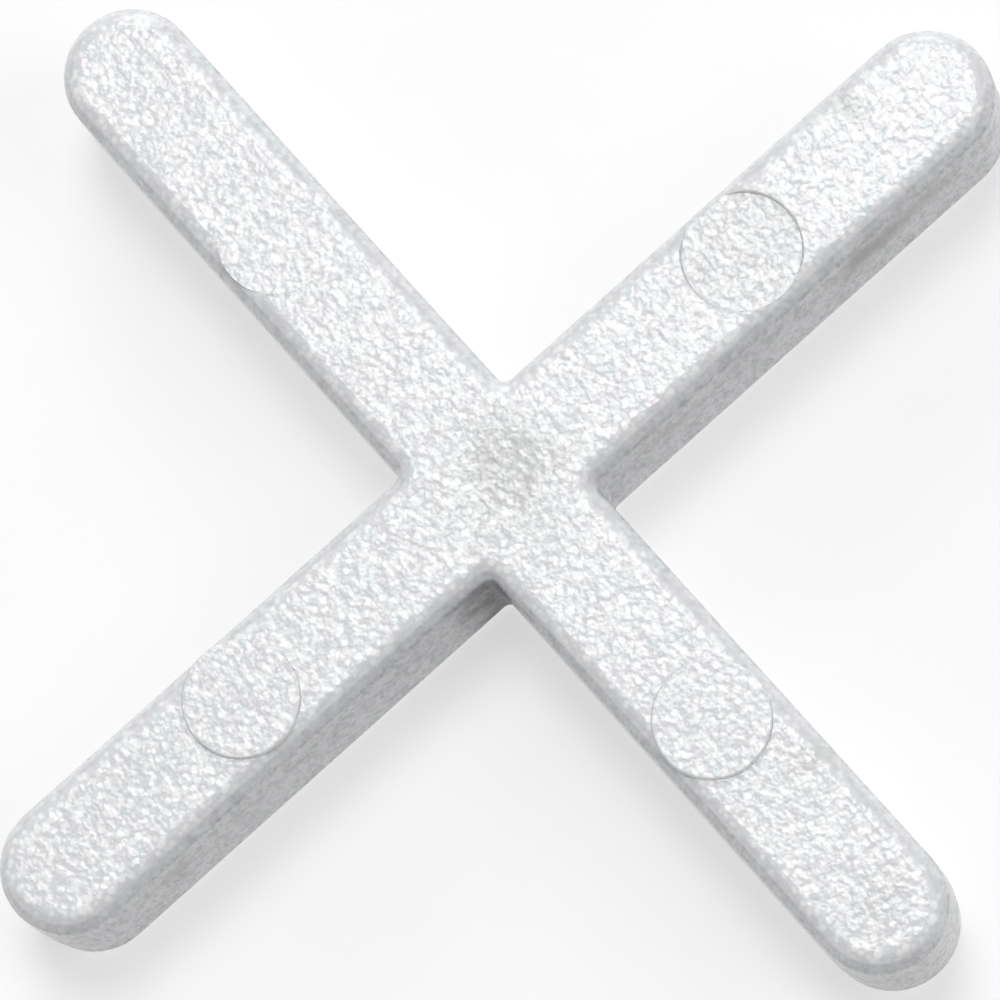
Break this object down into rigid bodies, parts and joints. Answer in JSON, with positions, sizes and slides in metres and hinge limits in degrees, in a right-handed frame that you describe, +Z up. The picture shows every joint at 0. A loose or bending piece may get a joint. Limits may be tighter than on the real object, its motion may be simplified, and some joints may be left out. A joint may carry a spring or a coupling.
{
  "type": "tile spacer",
  "caption": "Moulded plastic cross with round-ended arms and rounded upper edges, which keeps tiles one joint width apart.",
  "frame": {"origin": "middle of the underside", "axes": "+Z up through the thickness; the four arms lie along +X, +Y, -X and -Y"},
  "size_m": [0.0276, 0.0276, 0.0036],
  "materials": {
    "spacer_plastic": "light cool grey moulded plastic, eroded grain on the flats, satin on the rounded edges"
  },
  "bodies": {
    "root": {"cross_spacer": "spacer_plastic"}
  },
  "joints": []
}
